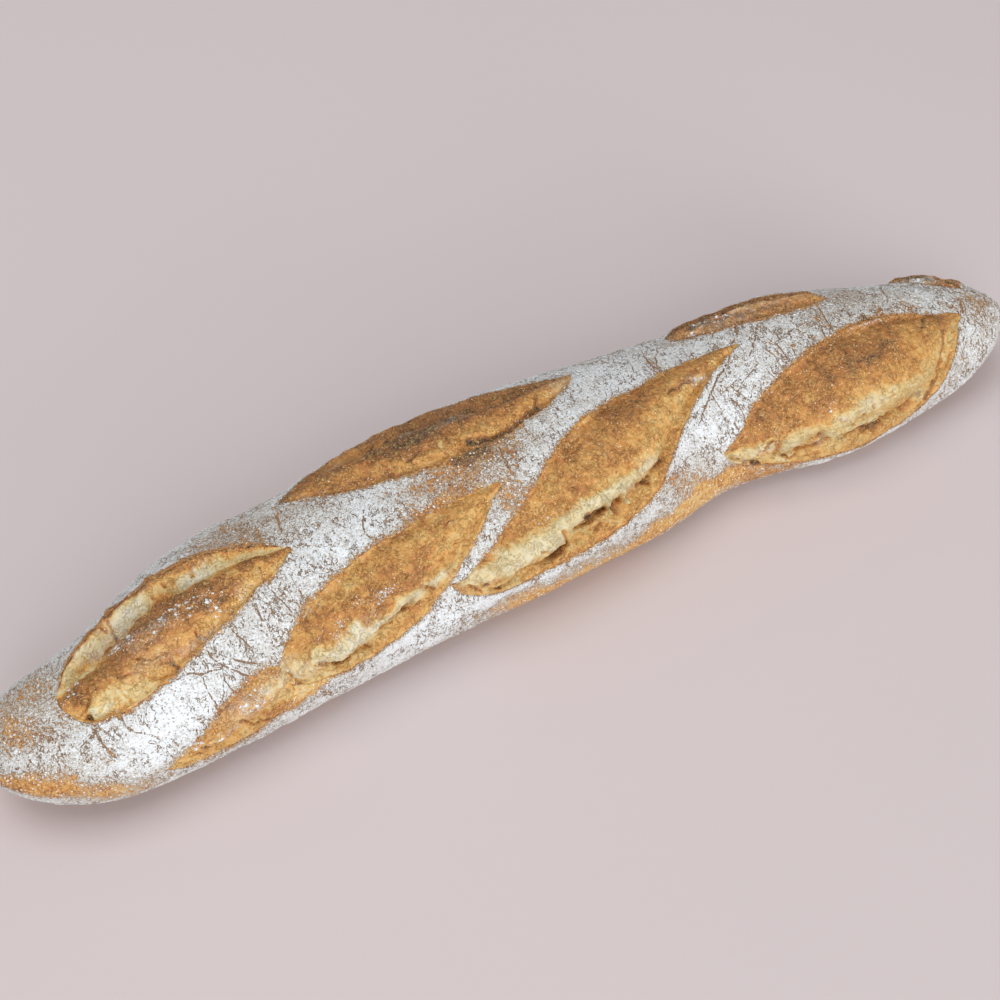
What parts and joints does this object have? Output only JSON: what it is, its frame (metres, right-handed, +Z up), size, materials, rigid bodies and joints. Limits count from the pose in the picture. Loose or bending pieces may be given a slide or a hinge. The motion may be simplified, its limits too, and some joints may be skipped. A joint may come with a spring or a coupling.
{
  "type": "baguette",
  "caption": "Long oval crusty loaf of white bread, floured on top, with staggered diagonal slashes burst open, rounded tips and a flat base.",
  "frame": {"origin": "middle of the loaf's bounding box, on the surface it rests on", "axes": "+X along the loaf, +Z up, and the front, with the row of larger low openings, faces -Y"},
  "size_m": [0.41, 0.0828, 0.0575],
  "materials": {
    "crust": "dry matte baked crust, dusted with flour, golden to dark brown where it burst"
  },
  "bodies": {
    "root": {"baguette_loaf": "crust"}
  },
  "joints": []
}
